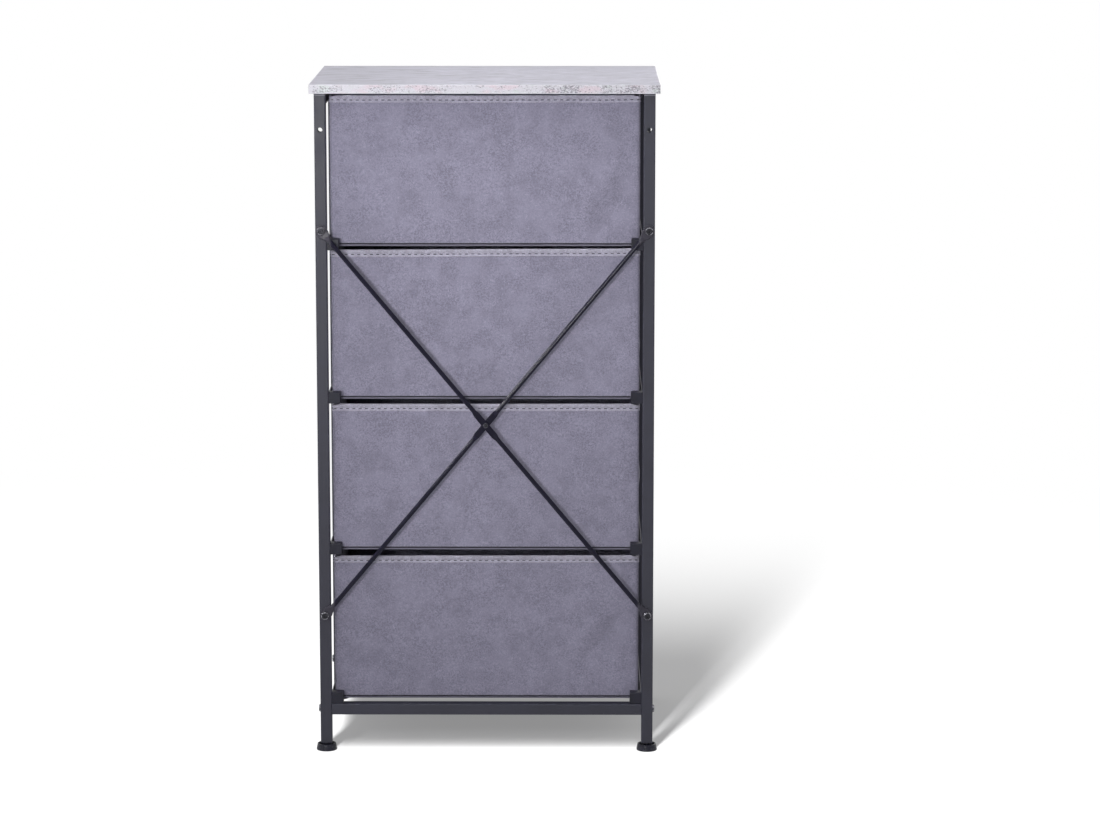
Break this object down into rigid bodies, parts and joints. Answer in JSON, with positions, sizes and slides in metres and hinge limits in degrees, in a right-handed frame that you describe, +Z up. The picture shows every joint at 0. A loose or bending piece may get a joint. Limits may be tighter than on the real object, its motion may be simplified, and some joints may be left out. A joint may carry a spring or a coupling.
{
  "type": "fabric drawer dresser",
  "caption": "Narrow dresser tower: square-tube steel frame, crossed brace rods at the back, fabric drawers that slide on angle rails, laminated top and levelling feet.",
  "frame": {"origin": "on the floor, under the middle of the dresser", "axes": "+Z up, drawer fronts face -Y, +X is the right of a person who faces the drawers"},
  "size_m": [0.45, 0.3, 0.88],
  "materials": {
    "stone_laminate": "matt laminate on fibreboard, pale grey stone look",
    "frame_black": "charcoal powder coat, satin, fine texture",
    "brace_black": "charcoal powder coat, satin, a little smoother than the frame",
    "screw_black": "black oxide steel",
    "zinc_steel": "zinc plated steel",
    "plastic_black": "moulded black plastic",
    "drawer_fabric": "grey non-woven fabric, faintly heathered",
    "hardboard": "brown hardboard",
    "pull_webbing": "charcoal webbing"
  },
  "bodies": {
    "frame": {"top_board": "stone_laminate", "upright_front_left": "frame_black", "upright_front_right": "frame_black", "upright_rear_left": "frame_black", "upright_rear_right": "frame_black", "side_top_bar_left": "frame_black", "side_top_bar_right": "frame_black", "crossbar_bottom_front": "frame_black", "crossbar_bottom_rear": "frame_black", "upright_top_caps": "plastic_black", "leg_inserts": "plastic_black", "crossbar_end_plugs": "plastic_black", "crossbar_bolts": "screw_black", "board_screws": "zinc_steel", "brace_rod_outer": "brace_black", "brace_rod_inner": "brace_black", "brace_screws": "screw_black", "brace_weld_nuts": "zinc_steel", "brace_centre_rivet": "screw_black", "rail_1_left": "frame_black", "rail_1_right": "frame_black", "rail_2_left": "frame_black", "rail_2_right": "frame_black", "rail_3_left": "frame_black", "rail_3_right": "frame_black", "rail_4_left": "frame_black", "rail_4_right": "frame_black", "rail_stop_1_left": "plastic_black", "rail_stop_1_right": "plastic_black", "rail_stop_2_left": "plastic_black", "rail_stop_2_right": "plastic_black", "rail_stop_3_left": "plastic_black", "rail_stop_3_right": "plastic_black", "rail_stop_4_left": "plastic_black", "rail_stop_4_right": "plastic_black"},
    "drawer_1": {"drawer_1_bin": "drawer_fabric", "drawer_1_base_board": "hardboard", "drawer_1_front_board": "hardboard", "drawer_1_pull": "pull_webbing"},
    "drawer_2": {"drawer_2_bin": "drawer_fabric", "drawer_2_base_board": "hardboard", "drawer_2_front_board": "hardboard", "drawer_2_pull": "pull_webbing"},
    "drawer_3": {"drawer_3_bin": "drawer_fabric", "drawer_3_base_board": "hardboard", "drawer_3_front_board": "hardboard", "drawer_3_pull": "pull_webbing"},
    "drawer_4": {"drawer_4_bin": "drawer_fabric", "drawer_4_base_board": "hardboard", "drawer_4_front_board": "hardboard", "drawer_4_pull": "pull_webbing"},
    "foot_front_left": {"foot_front_left_pad": "plastic_black", "foot_front_left_stud": "zinc_steel"},
    "foot_front_right": {"foot_front_right_pad": "plastic_black", "foot_front_right_stud": "zinc_steel"},
    "foot_rear_left": {"foot_rear_left_pad": "plastic_black", "foot_rear_left_stud": "zinc_steel"},
    "foot_rear_right": {"foot_rear_right_pad": "plastic_black", "foot_rear_right_stud": "zinc_steel"}
  },
  "joints": [
    {"name": "drawer_1_slide", "type": "slide", "parent": "frame", "child": "drawer_1", "axis": [0, -1, 0], "range_m": [0, 0.2]},
    {"name": "drawer_2_slide", "type": "slide", "parent": "frame", "child": "drawer_2", "axis": [0, -1, 0], "range_m": [0, 0.2]},
    {"name": "drawer_3_slide", "type": "slide", "parent": "frame", "child": "drawer_3", "axis": [0, -1, 0], "range_m": [0, 0.2]},
    {"name": "drawer_4_slide", "type": "slide", "parent": "frame", "child": "drawer_4", "axis": [0, -1, 0], "range_m": [0, 0.2]},
    {"name": "foot_front_left_adjust", "type": "slide", "parent": "frame", "child": "foot_front_left", "axis": [0, 0, -1], "range_m": [0, 0.006]},
    {"name": "foot_front_right_adjust", "type": "slide", "parent": "frame", "child": "foot_front_right", "axis": [0, 0, -1], "range_m": [0, 0.006]},
    {"name": "foot_rear_left_adjust", "type": "slide", "parent": "frame", "child": "foot_rear_left", "axis": [0, 0, -1], "range_m": [0, 0.006]},
    {"name": "foot_rear_right_adjust", "type": "slide", "parent": "frame", "child": "foot_rear_right", "axis": [0, 0, -1], "range_m": [0, 0.006]}
  ]
}
